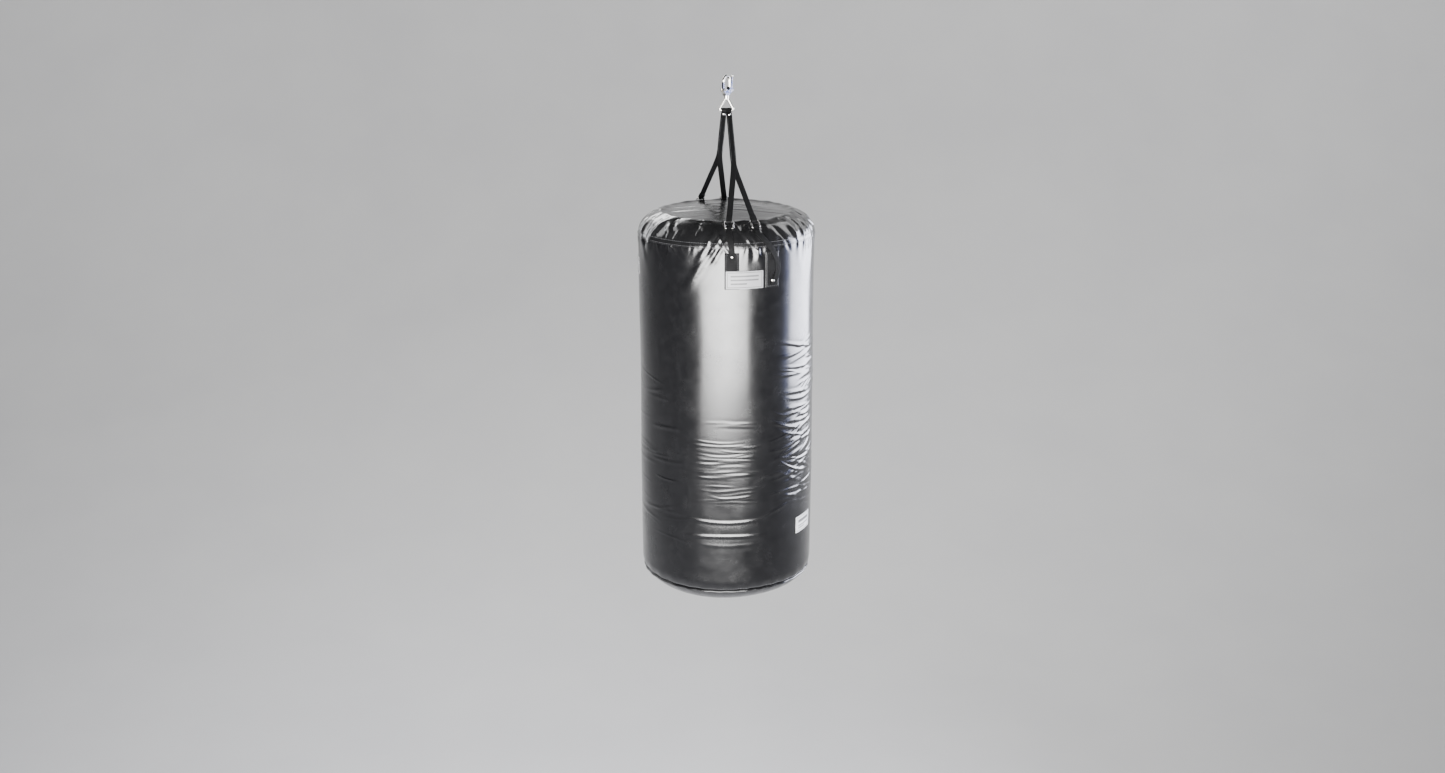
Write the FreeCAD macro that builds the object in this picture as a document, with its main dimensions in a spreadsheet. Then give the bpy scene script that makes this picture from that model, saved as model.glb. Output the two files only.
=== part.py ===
"""A heavy punching bag that hangs from four webbing legs and a swivel snap hook.

Row frame: +Z up, origin where the ceiling eye bears inside the hook's crown, the bag's front towards -Y.
An azimuth is measured from the front (-Y) towards +X. All sizes are in millimetres and degrees.
"""

import FreeCAD, Part
import math
import os
import Sketcher

V = FreeCAD.Vector
Rotation = FreeCAD.Rotation
Placement = FreeCAD.Placement

SIZES = {
    # the bag, with heights measured down from the hook's seat
    "bag_radius": 175.0,
    "bag_top_drop": 258.5,
    "bag_height": 770.0,
    "shoulder_radius": 50.0,
    "foot_radius": 52.0,
    "crown_rise": 8.0,
    "belly_drop": 9.0,
    "skin_thick": 2.0,
    "foam_thick": 25.0,
    "cap_seam_below_top": 38.0,
    "foot_seam_height": 29.0,
    "binding_width": 10.0,
    "binding_thick": 1.4,
    "piping_dia": 5.0,
    "foam_end_gap": 42.0,
    # the snap hook
    "hook_yaw": 210.0,
    "bar_dia": 5.0,
    "crown_radius": 7.5,
    "back_arm_length": 14.0,
    "nose_length": 2.8,
    "body_thick": 9.0,
    "body_foot_drop": 34.5,
    "body_foot_half": 5.2,
    "body_top_drop": 18.0,
    "loop_floor_drop": 23.5,
    "slot_width": 4.2,
    "slot_floor_drop": 27.2,
    "pivot_out": 7.5,
    "pivot_drop": 23.0,
    "pivot_dia": 2.6,
    "gate_thick": 3.8,
    "gate_boss_radius": 2.8,
    "gate_top_drop": 8.4,
    "lever_out": 12.4,
    "lever_drop": 24.5,
    "lever_boss_radius": 2.0,
    "lever_thick": 2.4,
    "lever_slot": 2.8,
    "lever_pin_dia": 1.8,
    "lever_tip_out": 15.0,
    "lever_tip_rise": 2.4,
    "lever_ball_dia": 4.4,
    "spring_wire": 0.8,
    # the swivel and the bail that carries the straps
    "stem_dia": 5.0,
    "stem_gap": 0.05,
    "head_dia": 8.0,
    "head_thick": 3.0,
    "head_seat_drop": 30.0,
    "washer_dia": 10.0,
    "washer_thick": 1.0,
    "boss_dia": 9.0,
    "boss_height": 5.0,
    "bail_bar_dia": 4.6,
    "bail_bar_drop": 62.5,
    "bail_half_width": 14.6,
    "bail_corner": 2.6,
    "bail_apex_half": 2.6,
    "bail_apex_drop": 40.6,
    # webbing
    "web_width": 11.2,
    "web_thick": 2.1,
    "eye_width": 9.2,
    "web_lift": 0.5,
    "split_out": 72.0,
    "split_drop": 160.5,
    "ring_bar_dia": 3.0,
    "ring_inner_width": 12.6,
    "ring_corner": 1.9,
    "ring_length": 15.0,
    "ring_centre_radius": 152.0,
    "ring_centre_drop": 260.0,
    "ring_slope": 45.0,
    "leg_azimuth": 9.5,
    # patches, rivets and labels on the wall
    "patch_thick": 1.2,
    "patch_width": 28.0,
    "patch_low": 649.0,
    "patch_high": 718.5,
    "patch_near_azimuth": 8.0,
    "patch_far_azimuth": 18.3,
    "rivet_dia": 3.0,
    "rivet_head_dia": 8.0,
    "rivet_head_thick": 1.8,
    "near_rivet_height": 712.0,
    "far_rivet_height": 663.0,
    "label_thick": 0.9,
    "label_width": 72.0,
    "label_low": 650.0,
    "label_high": 684.0,
    "low_label_width": 60.0,
    "low_label_low": 128.0,
    "low_label_high": 162.0,
    "low_label_azimuth": 52.0,
    "side_label_azimuth": -102.5,
}

doc = FreeCAD.newDocument("punching_bag")


class Size:
    """A number that remembers the spreadsheet expression it came from."""

    def __init__(self, value, text):
        self.value = value
        self.text = text

    def join(self, other, sign, value):
        return Size(value, f"({self.text} {sign} {words(other)})")

    def __add__(self, other):
        return self.join(other, "+", self.value + number(other))

    def __sub__(self, other):
        return self.join(other, "-", self.value - number(other))

    def __mul__(self, other):
        return self.join(other, "*", self.value * number(other))

    def __truediv__(self, other):
        return self.join(other, "/", self.value / number(other))

    def __neg__(self):
        return Size(-self.value, f"(0 - {self.text})")


def number(size):
    return size.value if isinstance(size, Size) else float(size)


def words(size):
    return size.text if isinstance(size, Size) else repr(float(size))


class Sheet:
    """The driving dimensions: each attribute is a Size bound to its cell."""


def make_sheet():
    cells = doc.addObject("Spreadsheet::Sheet", "Sizes")
    sheet = Sheet()
    for row, (alias, value) in enumerate(SIZES.items(), start=1):
        cells.set(f"A{row}", alias)
        cells.set(f"B{row}", str(value))
        cells.setAlias(f"B{row}", alias)
        setattr(sheet, alias, Size(value, f"Sizes.{alias}"))
    doc.recompute()
    return sheet


S = make_sheet()
BAG_TOP = -S.bag_top_drop
BAG_FOOT = -S.bag_top_drop - S.bag_height


def above_foot(height):
    """A height above the bag's foot, as a height in the row frame."""
    return BAG_FOOT + height


# ---- helpers ----------------------------------------------------------------------------------


def bind(thing, **sizes):
    """Binds properties to their sheet expressions; x, y and z move the object."""
    for name, size in sizes.items():
        path = f".Placement.Base.{name}" if name in ("x", "y", "z") else name
        if isinstance(size, Size):
            thing.setExpression(path, size.text)
        elif name in ("x", "y", "z"):
            setattr(thing.Placement.Base, name, number(size))
        else:
            setattr(thing, name, size)
    return thing


def primitive(kind, name, rotation=None, **sizes):
    thing = doc.addObject("Part::" + kind, name)
    if rotation is not None:
        thing.Placement = Placement(V(0, 0, 0), rotation)
    return bind(thing, **sizes)


def cut(name, base, tool):
    thing = doc.addObject("Part::Cut", name)
    thing.Base, thing.Tool = base, tool
    return thing


def common(name, base, tool):
    thing = doc.addObject("Part::Common", name)
    thing.Base, thing.Tool = base, tool
    return thing


def fuse(name, *shapes):
    thing = doc.addObject("Part::MultiFuse", name)
    thing.Shapes = list(shapes)
    return thing


def plane_of(body, role):
    return next(f for f in body.Origin.OriginFeatures if f.Role == role)


def draw_outline(sketch, steps, closed=True):
    """Draws lines and arcs through steps of (x, y) or (x, y, radius, turn) and dimensions each corner.

    A step with a radius arrives by an arc of that radius; turn is 1 for anticlockwise and -1 for clockwise.
    """
    count = len(steps)
    pairs = [(steps[i - 1], steps[i]) for i in range(0 if closed else 1, count)]
    for before, after in pairs:
        start = V(number(before[0]), number(before[1]), 0)
        end = V(number(after[0]), number(after[1]), 0)
        if len(after) == 2:
            sketch.addGeometry(Part.LineSegment(start, end), False)
        else:
            sketch.addGeometry(arc_between(start, end, number(after[2]), after[3]), False)
    for index, (before, after) in enumerate(pairs):
        first = 2 if len(after) == 4 and after[3] < 0 else 1
        place_corner(sketch, index, first, before)
        if len(after) == 4:
            dimension(sketch, Sketcher.Constraint("Radius", index, number(after[2])), after[2])
        if not closed and index == len(pairs) - 1:
            place_corner(sketch, index, 3 - first, after)
            continue
        following = pairs[(index + 1) % len(pairs)][1]
        their_start = 2 if len(following) == 4 and following[3] < 0 else 1
        join = Sketcher.Constraint("Coincident", index, 3 - first, (index + 1) % len(pairs), their_start)
        sketch.addConstraint(join)


def arc_between(start, end, radius, turn):
    """The minor arc from start to end. An arc's own start is always its anticlockwise one."""
    half = (end - start) * 0.5
    reach = math.sqrt(max(radius**2 - half.Length**2, 0.0))
    side = V(-half.y, half.x, 0).normalize() * reach * turn
    centre = start + half + side
    low, high = (start, end) if turn > 0 else (end, start)
    angles = [math.atan2(p.y - centre.y, p.x - centre.x) for p in (low, high)]
    return Part.ArcOfCircle(Part.Circle(centre, V(0, 0, 1), radius), *angles)


def place_corner(sketch, index, point, corner):
    for axis, axis_line, size in (("X", -2, corner[0]), ("Y", -1, corner[1])):
        if isinstance(size, Size):
            constraint = Sketcher.Constraint("Distance" + axis, -1, 1, index, point, size.value)
            dimension(sketch, constraint, size)
        elif size == 0:
            sketch.addConstraint(Sketcher.Constraint("PointOnObject", index, point, axis_line))
        else:
            sketch.addConstraint(Sketcher.Constraint("Distance" + axis, -1, 1, index, point, float(size)))


def dimension(sketch, constraint, size):
    place = sketch.addConstraint(constraint)
    if isinstance(size, Size):
        sketch.setExpression(f"Constraints[{place}]", size.text)


def body_with_outline(name, steps):
    """A body with a closed outline on its XZ plane."""
    body = doc.addObject("PartDesign::Body", name)
    sketch = body.newObject("Sketcher::SketchObject", name + "_outline")
    sketch.AttachmentSupport = (plane_of(body, "XZ_Plane"), [""])
    sketch.MapMode = "FlatFace"
    draw_outline(sketch, steps)
    return body, sketch


def turned(name, steps, angle=360.0, azimuth=0.0):
    """A profile in radius and height, turned about Z, centred on an azimuth if it isn't a full turn."""
    body, sketch = body_with_outline(name, steps)
    turn = body.newObject("PartDesign::Revolution", name + "_turn")
    turn.Profile = sketch
    turn.ReferenceAxis = (sketch, ["V_Axis"])
    turn.Midplane = True
    bind(turn, Angle=angle)
    body.Placement = Placement(V(0, 0, 0), Rotation(V(0, 0, 1), number(azimuth) - 90))
    return body


def padded(name, steps, thick):
    body, sketch = body_with_outline(name, steps)
    pad = body.newObject("PartDesign::Pad", name + "_pad")
    pad.Profile = sketch
    pad.Midplane = True
    bind(pad, Length=thick)
    return body


def bent_bar(name, frame, steps, diameter):
    """A round bar swept round a closed outline drawn in frame's own XY plane.

    The section stands at the outline's last corner, square to the line that closes it.
    """
    path = doc.addObject("Sketcher::SketchObject", name + "_path")
    path.Placement = frame
    draw_outline(path, steps)
    start = V(number(steps[-1][0]), number(steps[-1][1]), 0)
    ahead = V(number(steps[0][0]), number(steps[0][1]), 0) - start
    section = doc.addObject("Part::Circle", name + "_section")
    section.Placement = frame.multiply(Placement(start, Rotation(V(0, 0, 1), ahead)))
    bind(section, Radius=diameter / 2)
    doc.recompute()
    bar = doc.addObject("Part::Sweep", name)
    bar.Sections = [section]
    bar.Spine = (path, [f"Edge{i + 1}" for i in range(len(path.Shape.Edges))])
    bar.Solid = True
    bar.Frenet = False
    bar.Transition = "Right corner"
    return bar


# ---- the bag ----------------------------------------------------------------------------------


def envelope(name, inset):
    """The filled bag's outer form, drawn in by inset on every side."""
    radius = S.bag_radius - inset
    top, foot = BAG_TOP - inset, BAG_FOOT + inset
    shoulder, toe = S.shoulder_radius - inset, S.foot_radius - inset
    crown_span = number(S.bag_radius - S.shoulder_radius)
    belly_span = number(S.bag_radius - S.foot_radius)
    crown_ball = (crown_span**2 + number(S.crown_rise) ** 2) / (2 * number(S.crown_rise))
    belly_ball = (belly_span**2 + number(S.belly_drop) ** 2) / (2 * number(S.belly_drop))
    steps = [
        (0, foot - S.belly_drop),
        (radius - toe, foot, belly_ball, 1),
        (radius, foot + toe, toe, 1),
        (radius, top - shoulder),
        (radius - shoulder, top, shoulder, 1),
        (0, top + S.crown_rise, crown_ball, 1),
    ]
    return turned(name, steps)


def between(name, low, high, reach):
    """A tall helper cylinder that keeps what lies between two heights."""
    return primitive("Cylinder", name, Radius=reach, Height=high - low, z=low)


def make_bag():
    outside = envelope("skin_outside", Size(0.0, "0"))
    inside = envelope("skin_inside", S.skin_thick)
    core = envelope("foam_inside", S.skin_thick + S.foam_thick)
    skin = cut("skin", outside, inside)
    reach = S.bag_radius * 1.2
    cap_seam = BAG_TOP - S.cap_seam_below_top
    foot_seam = above_foot(S.foot_seam_height)
    ceiling = BAG_TOP + S.crown_rise * 2
    floor = BAG_FOOT - S.belly_drop * 2
    common("top_cap", skin, between("keep_cap", cap_seam, ceiling, reach))
    common("side_shell", skin, between("keep_side", foot_seam, cap_seam, reach))
    common("bottom_panel", skin, between("keep_bottom", floor, foot_seam, reach))

    wall = cut("foam_all", inside, core)
    foam_low = above_foot(S.foam_end_gap)
    foam_high = BAG_TOP - S.foam_end_gap
    foam = common("foam_liner", wall, between("keep_foam", foam_low, foam_high, reach))
    cut("fibre_fill", inside, foam)

    proud = envelope("binding_outside", -S.binding_thick)
    band = cut("binding_all", proud, outside)
    half = S.binding_width / 2
    common("cap_binding", band, between("keep_binding", cap_seam - half, cap_seam + half, reach))

    seam_radius = number(S.bag_radius - S.foot_radius) + math.sqrt(
        number(S.foot_radius) ** 2 - number(S.foot_radius - S.foot_seam_height) ** 2
    )
    welt = primitive("Torus", "piping_ring", Radius2=S.piping_dia / 2, z=foot_seam)
    welt.Radius1 = seam_radius
    cut("foot_piping", welt, outside)


def wall_plate(name, azimuth, width, low, high, thick, gap=0.0):
    """A thin plate that lies on the wall, gap away from it."""
    inner = S.bag_radius + gap
    steps = [(inner, low), (inner + thick, low), (inner + thick, high), (inner, high)]
    turned(name, steps, width / S.bag_radius * (180 / math.pi), azimuth)


def make_labels():
    over_patch = S.patch_thick + 0.02
    wall_plate("front_label", 0.0, S.label_width, above_foot(S.label_low), above_foot(S.label_high),
               S.label_thick, over_patch)
    wall_plate("side_label", number(S.side_label_azimuth), S.label_width, above_foot(S.label_low),
               above_foot(S.label_high), S.label_thick)
    wall_plate("low_label", number(S.low_label_azimuth), S.low_label_width, above_foot(S.low_label_low),
               above_foot(S.low_label_high), S.label_thick)


# ---- the snap hook ----------------------------------------------------------------------------

YAW = Placement(V(0, 0, 0), Rotation(V(0, 0, 1), number(S.hook_yaw)))
FLAT_ON = Rotation(V(1, 0, 0), 90)


def in_hook_frame(thing):
    """Turns a piece drawn in the XZ plane to the hook's yaw."""
    thing.Placement = YAW.multiply(thing.Placement)
    return thing


def make_hook():
    """The loop, with its back arm at -X and its nose and gate at +X, on a body with two pairs of ears."""
    centre_drop = S.crown_radius - S.bar_dia / 2
    gate_ear = S.pivot_out + 3.4
    lever_ear = S.lever_out + 2.2
    body = padded("hook_body", [
        (-S.body_foot_half, -S.body_foot_drop),
        (S.body_foot_half, -S.body_foot_drop),
        (S.body_foot_half + 0.8, -S.body_foot_drop + 4.0),
        (gate_ear, -S.pivot_drop - 2.2),
        (gate_ear, -S.pivot_drop + 2.6),
        (S.pivot_out - 3.4, -S.pivot_drop + 2.6),
        (S.pivot_out - 3.4, -S.loop_floor_drop),
        (-S.crown_radius + S.bar_dia / 2, -S.loop_floor_drop),
        (-S.crown_radius + S.bar_dia / 2, -S.body_top_drop),
        (-S.crown_radius - S.bar_dia / 2, -S.body_top_drop),
        (-lever_ear, -S.lever_drop + 2.4),
        (-lever_ear, -S.lever_drop - 1.8),
        (-S.body_foot_half - 0.8, -S.body_foot_drop + 4.0),
    ], S.body_thick)
    crown = primitive("Torus", "hook_crown", FLAT_ON, Radius1=S.crown_radius, Radius2=S.bar_dia / 2,
                      Angle3=180.0, z=-centre_drop)
    back = primitive("Cylinder", "hook_back", Radius=S.bar_dia / 2, Height=S.back_arm_length,
                     x=-S.crown_radius, z=-centre_drop - S.back_arm_length)
    nose = primitive("Cylinder", "hook_nose", Radius=S.bar_dia / 2, Height=S.nose_length,
                     x=S.crown_radius, z=-centre_drop - S.nose_length)
    gate_slot = primitive("Box", "gate_slot", Length=20.0, Width=S.slot_width, Height=20.0,
                          x=S.pivot_out - 3.5, y=-(S.slot_width / 2), z=-S.slot_floor_drop)
    lever_slot = primitive("Box", "lever_slot", Length=20.0, Width=S.lever_slot, Height=20.0,
                           x=-S.lever_out + 2.3 - 20.0, y=-(S.lever_slot / 2), z=-S.lever_drop - 2.8)
    gate_hole = pin_bore("gate_pin_hole", S.pivot_out, -S.pivot_drop, S.pivot_dia)
    lever_hole = pin_bore("lever_pin_hole", -S.lever_out, -S.lever_drop, S.lever_pin_dia)
    bore = primitive("Cylinder", "stem_bore", Radius=S.stem_dia / 2 + S.stem_gap, Height=20.0,
                     z=-S.body_foot_drop - 5.0)
    recess = primitive("Cylinder", "head_recess", Radius=S.head_dia / 2 + 0.2,
                       Height=S.head_seat_drop - S.loop_floor_drop + 0.1, z=-S.head_seat_drop)
    cuts = fuse("hook_cuts", gate_slot, lever_slot, gate_hole, lever_hole, bore, recess)
    return in_hook_frame(fuse("hook", cut("hook_solid", body, cuts), crown, back, nose))


def pin_bore(name, out, height, diameter):
    """A hole along the hook's Y axis with running clearance round a pin of this diameter."""
    return primitive("Cylinder", name, FLAT_ON, Radius=diameter / 2 + S.stem_gap,
                     Height=S.body_thick * 2, x=out, y=S.body_thick, z=height)


def riveted_pin(name, out, height, diameter, back_end):
    """A pin across the body with a flat head at each end."""
    front_end = -(S.body_thick / 2 + 0.1)
    shank = primitive("Cylinder", name + "_shank", FLAT_ON, Radius=diameter / 2,
                      Height=back_end - front_end, x=out, y=back_end, z=height)
    front_head = primitive("Cylinder", name + "_front_head", FLAT_ON, Radius=diameter * 0.8, Height=0.9,
                           x=out, y=front_end, z=height)
    back_head = primitive("Cylinder", name + "_back_head", FLAT_ON, Radius=diameter * 0.8, Height=0.9,
                          x=out, y=back_end + 0.9, z=height)
    in_hook_frame(fuse(name, shank, front_head, back_head))


def make_gate():
    """The gate closes the loop under the nose; the lever stands beside the back arm."""
    boss = S.gate_boss_radius
    top = -S.gate_top_drop
    gate = padded("gate_blank", [
        (S.pivot_out - boss, -S.pivot_drop),
        (S.pivot_out, -S.pivot_drop - boss, boss, 1),
        (S.pivot_out + boss, -S.pivot_drop, boss, 1),
        (S.pivot_out + 2.2, top),
        (S.pivot_out - 1.6, top),
    ], S.gate_thick)
    in_hook_frame(cut("gate", gate, pin_bore("gate_bore", S.pivot_out, -S.pivot_drop, S.pivot_dia)))

    boss = S.lever_boss_radius
    blade = padded("lever_blank", [
        (-S.lever_out - boss, -S.lever_drop),
        (-S.lever_out, -S.lever_drop - boss, boss, 1),
        (-S.lever_out + boss, -S.lever_drop, boss, 1),
        (-S.lever_tip_out + 1.1, S.lever_tip_rise),
        (-S.lever_tip_out - 1.1, S.lever_tip_rise),
    ], S.lever_thick)
    ball = primitive("Sphere", "lever_ball", Radius=S.lever_ball_dia / 2, x=-S.lever_tip_out,
                     z=S.lever_tip_rise)
    lever_bore = pin_bore("lever_bore", -S.lever_out, -S.lever_drop, S.lever_pin_dia)
    in_hook_frame(cut("thumb_lever", fuse("lever_whole", blade, ball), lever_bore))

    riveted_pin("gate_pin", S.pivot_out, -S.pivot_drop, S.pivot_dia, S.body_thick / 2 + 3.4)
    riveted_pin("lever_pin", -S.lever_out, -S.lever_drop, S.lever_pin_dia, S.body_thick / 2 + 0.1)

    turns = []
    for turn in range(3):
        turns.append(primitive("Torus", f"spring_turn_{turn}", FLAT_ON, Radius1=1.9,
                               Radius2=S.spring_wire / 2, x=S.pivot_out,
                               y=S.body_thick / 2 + 0.6 + 0.75 * turn, z=-S.pivot_drop))
    tail = primitive("Cylinder", "spring_tail", Rotation(V(0, 1, 0), -60), Radius=S.spring_wire / 2,
                     Height=8.0, x=S.pivot_out - 0.95, y=S.body_thick / 2 + 0.6,
                     z=-S.pivot_drop - 1.645)
    in_hook_frame(fuse("gate_spring", *turns, tail))


def make_swivel():
    seat = -S.head_seat_drop + S.stem_gap
    stem_foot = -S.body_foot_drop - 3.0
    stem = primitive("Cylinder", "stem", Radius=S.stem_dia / 2, Height=seat - stem_foot + 0.5, z=stem_foot)
    head = primitive("Cylinder", "stem_head", Radius=S.head_dia / 2, Height=S.head_thick, z=seat)
    washer_top = -S.body_foot_drop - S.stem_gap
    ring = primitive("Cylinder", "washer_disc", Radius=S.washer_dia / 2, Height=S.washer_thick,
                     z=washer_top - S.washer_thick)
    hole = primitive("Cylinder", "washer_hole", Radius=S.stem_dia / 2 + S.stem_gap, Height=10.0,
                     z=washer_top - 5.0)
    cut("swivel_washer", ring, hole)
    boss_top = washer_top - S.washer_thick - S.stem_gap
    boss = primitive("Cylinder", "bail_boss", Radius=S.boss_dia / 2, Height=S.boss_height,
                     z=boss_top - S.boss_height)
    upright = Placement(V(0, 0, 0), FLAT_ON)
    half, corner = S.bail_half_width, S.bail_corner
    slant = math.atan2(number(S.bail_bar_drop - S.bail_apex_drop), number(half - S.bail_apex_half))
    # each lower corner is an arc that leaves the bar and runs into the slanting leg
    reach = number(corner) * math.tan((math.pi - slant) / 2)
    out, rise = reach * math.cos(slant), reach * math.sin(slant)
    bar = -S.bail_bar_drop
    ring_bar = bent_bar("bail_ring", upright, [
        (S.bail_apex_half, -S.bail_apex_drop),
        (-S.bail_apex_half, -S.bail_apex_drop),
        (-(half - out), bar + rise),
        (-(half - reach), bar, corner, 1),
        (half - reach, bar),
        (half - out, bar + rise, corner, 1),
    ], S.bail_bar_dia)
    fuse("bail", stem, head, boss, ring_bar)


# ---- webbing, rings and rivets ----------------------------------------------------------------


def outward(azimuth):
    angle = math.radians(azimuth)
    return V(math.sin(angle), -math.cos(angle), 0)


def sideways(azimuth):
    angle = math.radians(azimuth)
    return V(math.cos(angle), math.sin(angle), 0)


def at(azimuth, radius, height):
    return outward(azimuth) * radius + V(0, 0, height)


def section(centre, across, along, width, thick):
    """A rectangle square to along, as a closed wire."""
    up = along.cross(across).normalize()
    side = across.normalize() * (width / 2)
    lift = up * (thick / 2)
    corners = [centre - side - lift, centre + side - lift, centre + side + lift, centre - side + lift]
    return Part.makePolygon(corners + corners[:1])


def ribbon(points, across, widths, thick):
    """A strap through points, with its width and the direction of its width at each."""
    wires = []
    for i, point in enumerate(points):
        ahead = points[min(i + 1, len(points) - 1)] - points[max(i - 1, 0)]
        side = across[i] - ahead * (across[i].dot(ahead) / ahead.dot(ahead))
        wires.append(section(point, side, ahead, widths[i], thick))
    return Part.makeLoft(wires, True, True)


def web_loop(centre, axis, bar_radius, width, thick):
    """The eye that a strap makes round a bar."""
    start = centre - axis * (width / 2)
    inner = bar_radius + 0.1
    outer = Part.makeCylinder(inner + thick, width, start, axis)
    return outer.cut(Part.makeCylinder(inner, width, start, axis))


def ring_frame(azimuth):
    """A ring's frame: X along the strap and down the shoulder, Y sideways, Z off the skin."""
    slope = math.radians(number(S.ring_slope))
    along = outward(azimuth) * math.cos(slope) - V(0, 0, math.sin(slope))
    across = sideways(azimuth)
    centre = at(azimuth, number(S.ring_centre_radius), -number(S.ring_centre_drop))
    matrix = FreeCAD.Matrix(along.x, across.x, along.cross(across).x, centre.x,
                            along.y, across.y, along.cross(across).y, centre.y,
                            along.z, across.z, along.cross(across).z, centre.z, 0, 0, 0, 1)
    return Placement(matrix)


def make_ring(name, azimuth):
    """A rectangular ring: one end bar carries the leg and the other the anchor strap."""
    half = S.ring_inner_width / 2 + S.ring_bar_dia / 2
    long = S.ring_length / 2
    corner = S.ring_corner
    bent_bar(name, ring_frame(azimuth), [
        (-long, -(half - corner)),
        (-(long - corner), -half, corner, 1),
        (long - corner, -half),
        (long, -(half - corner), corner, 1),
        (long, half - corner),
        (long - corner, half, corner, 1),
        (-(long - corner), half),
        (-long, half - corner, corner, 1),
    ], S.ring_bar_dia)


def as_feature(name, shape):
    thing = doc.addObject("Part::Feature", name)
    thing.Shape = shape
    return thing


def make_strap(name, side, azimuths):
    """Webbing folded over the bail: two layers sewn together, which part into two legs.

    side is 1 for the strap on the +X half of the bail, which runs to the front, and -1 for the other.
    """
    width, thick = number(S.web_width), number(S.web_thick)
    narrow = number(S.eye_width)
    bar = V(side * (narrow / 2 + 0.15), 0, -number(S.bail_bar_drop))
    split = V(0, -side * number(S.split_out), -number(S.split_drop))
    eye = number(S.bail_bar_dia) / 2 + 0.1
    down = (split - bar).normalize()
    start = bar + down * (eye + thick * 0.55)
    x_axis = V(1, 0, 0)
    pieces = [web_loop(bar, x_axis, number(S.bail_bar_dia) / 2, narrow, thick)]
    course = [start, bar + down * 12, split]
    pieces.append(ribbon(course, [x_axis] * 3, [narrow, width, width], 2 * thick))
    for azimuth, layer in zip(azimuths, (1, -1)):
        frame = ring_frame(azimuth)
        ring_bar = frame.multVec(V(-number(S.ring_length) / 2, 0, 0))
        across = sideways(azimuth) * side
        run = (ring_bar - split).normalize()
        lift = run.cross(x_axis).normalize() * (layer * thick / 2)
        ring_eye = number(S.ring_bar_dia) / 2 + 0.1
        end = ring_bar - run * (ring_eye + thick * 0.55)
        first = split + lift - down * 12
        across_start = x_axis
        course = [first, split + lift, end]
        pieces.append(ribbon(course, [across_start, across_start, across], [width] * 3, thick))
        pieces.append(web_loop(ring_bar, sideways(azimuth), number(S.ring_bar_dia) / 2, width, thick))
    whole = pieces[0].multiFuse(pieces[1:]).removeSplitter()
    as_feature(name, whole)
    return bar + down * 9.5, down


def make_anchor(name, ring_azimuth, patch_azimuth, rivet_height):
    """The strap sewn to the wall: an eye round the ring, over the shoulder and down onto its patch."""
    width, thick = number(S.web_width), number(S.web_thick)
    frame = ring_frame(ring_azimuth)
    ring_bar = frame.multVec(V(number(S.ring_length) / 2, 0, 0))
    off = number(S.binding_thick + S.web_lift) + thick / 2
    shoulder = number(S.shoulder_radius)
    middle_radius = number(S.bag_radius) - shoulder
    middle_height = number(BAG_TOP) - shoulder
    turn = patch_azimuth - ring_azimuth
    points, across = [], []
    for step, lean in enumerate((40, 30, 20, 10, 0)):
        azimuth = ring_azimuth + turn * step / 4
        angle = math.radians(lean)
        radius = middle_radius + (shoulder + off) * math.cos(angle)
        points.append(at(azimuth, radius, middle_height + (shoulder + off) * math.sin(angle)))
        across.append(sideways(azimuth))
    low = number(above_foot(Size(rivet_height - 9.0, "")))
    points.append(at(patch_azimuth, number(S.bag_radius) + off, low))
    across.append(sideways(patch_azimuth))
    eye = number(S.ring_bar_dia) / 2 + 0.1
    away = (points[0] - ring_bar).normalize()
    points.insert(0, ring_bar + away * (eye + thick * 0.55))
    across.insert(0, sideways(ring_azimuth))
    strap = ribbon(points, across, [width] * len(points), thick)
    loop = web_loop(ring_bar, sideways(ring_azimuth), number(S.ring_bar_dia) / 2, width, thick)
    as_feature(name, loop.fuse(strap).removeSplitter())


def rivet(azimuth, height):
    """A domed rivet through strap, patch and skin, with a burr washer inside."""
    face = number(S.bag_radius + S.binding_thick + S.web_lift + S.web_thick) + 0.05
    inside = number(S.bag_radius - S.skin_thick)
    axis = outward(azimuth)
    z = number(above_foot(Size(height, "")))
    head_radius, head_thick = number(S.rivet_head_dia) / 2, number(S.rivet_head_thick)
    ball = (head_radius**2 + head_thick**2) / (2 * head_thick)
    dome = Part.makeSphere(ball, at(azimuth, face + head_thick - ball, z))
    slab = Part.makeCylinder(head_radius * 1.5, head_thick + 1, at(azimuth, face, z), axis)
    shank = Part.makeCylinder(number(S.rivet_dia) / 2, face - inside + 1.2, at(azimuth, inside - 1.2, z), axis)
    burr = Part.makeCylinder(head_radius, 1.0, at(azimuth, inside - 1.2, z), axis)
    return dome.common(slab).multiFuse([shank, burr])


def loop_rivet(centre, down):
    """A rivet that closes the webbing's eye under the bail."""
    across = down.cross(V(1, 0, 0)).normalize()
    half = number(S.web_thick)
    shank = Part.makeCylinder(1.3, 2 * half + 1.6, centre - across * (half + 0.8), across)
    heads = [Part.makeCone(2.9, 1.8, 1.0, centre + across * half * way, across * way) for way in (1, -1)]
    return shank.multiFuse(heads)


def make_webbing():
    lean = number(S.leg_azimuth)
    near, far = number(S.patch_near_azimuth), number(S.patch_far_azimuth)
    loop_rivets = []
    for face, side, turn in (("front", 1, 0.0), ("back", -1, 180.0)):
        centre, down = make_strap(face + "_strap", side, (turn - lean, turn + lean))
        loop_rivets.append(loop_rivet(centre, down))
        for hand, ring_azimuth, patch_azimuth, height in (
            ("left", -lean, -near, number(S.near_rivet_height)),
            ("right", lean, far, number(S.far_rivet_height)),
        ):
            name = f"{face}_{hand}"
            make_ring(name + "_ring", turn + ring_azimuth)
            make_anchor(name + "_anchor", turn + ring_azimuth, turn + patch_azimuth, height)
            wall_plate(name + "_patch", turn + patch_azimuth, S.patch_width, above_foot(S.patch_low),
                       above_foot(S.patch_high), S.patch_thick)
            as_feature(name + "_rivet", rivet(turn + patch_azimuth, height))
    as_feature("loop_rivets", Part.makeCompound(loop_rivets))


# ---- what is written --------------------------------------------------------------------------

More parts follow.
